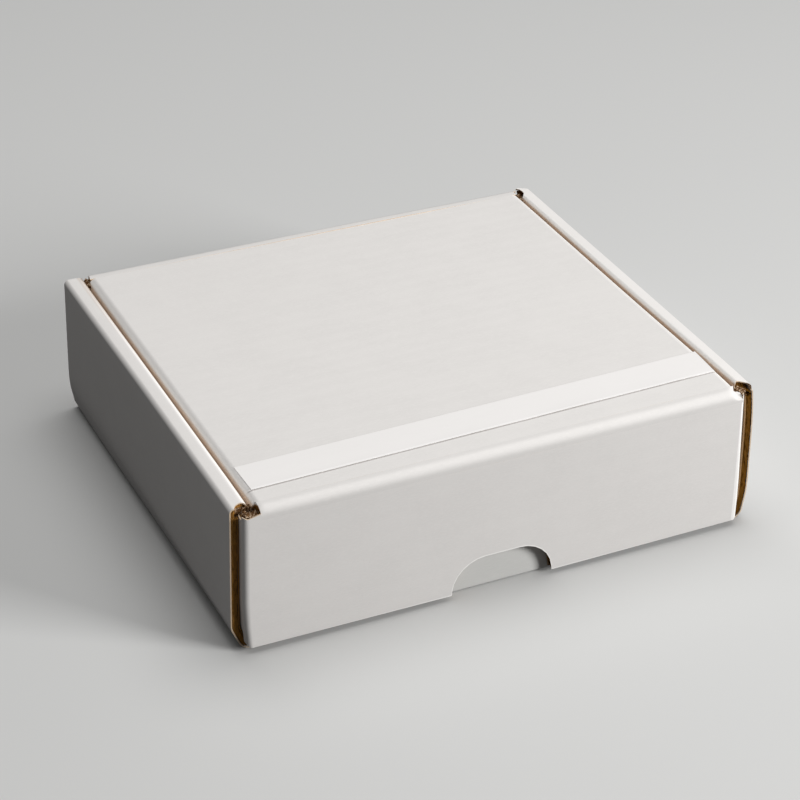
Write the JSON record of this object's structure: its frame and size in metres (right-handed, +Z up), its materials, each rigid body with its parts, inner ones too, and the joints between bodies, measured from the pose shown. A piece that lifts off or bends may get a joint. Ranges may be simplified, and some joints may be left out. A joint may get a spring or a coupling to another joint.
{
  "type": "corrugated mailer box",
  "caption": "Closed folding mailer box of white-faced corrugated board, with roll-over side walls and a front tuck flap with a thumb notch.",
  "frame": {"origin": "middle of the closed box's underside, at the level it stands on", "axes": "+X across the box to the right as seen from the front, +Y from the front flap to the back, +Z up"},
  "size_m": [0.19, 0.1666, 0.0544],
  "materials": {
    "board": "matte white liner over brown fluting",
    "strip": "smooth white paper"
  },
  "bodies": {
    "box": {"box_blank": "board", "seal_strip": "strip"},
    "front_flap": {"front_flap": "board"}
  },
  "joints": [
    {"name": "front_flap_swing", "type": "hinge", "parent": "box", "child": "front_flap", "pos_m": [0, -0.08325, 0.054], "axis": [-1, 0, 0], "range_deg": [0, 90]}
  ]
}
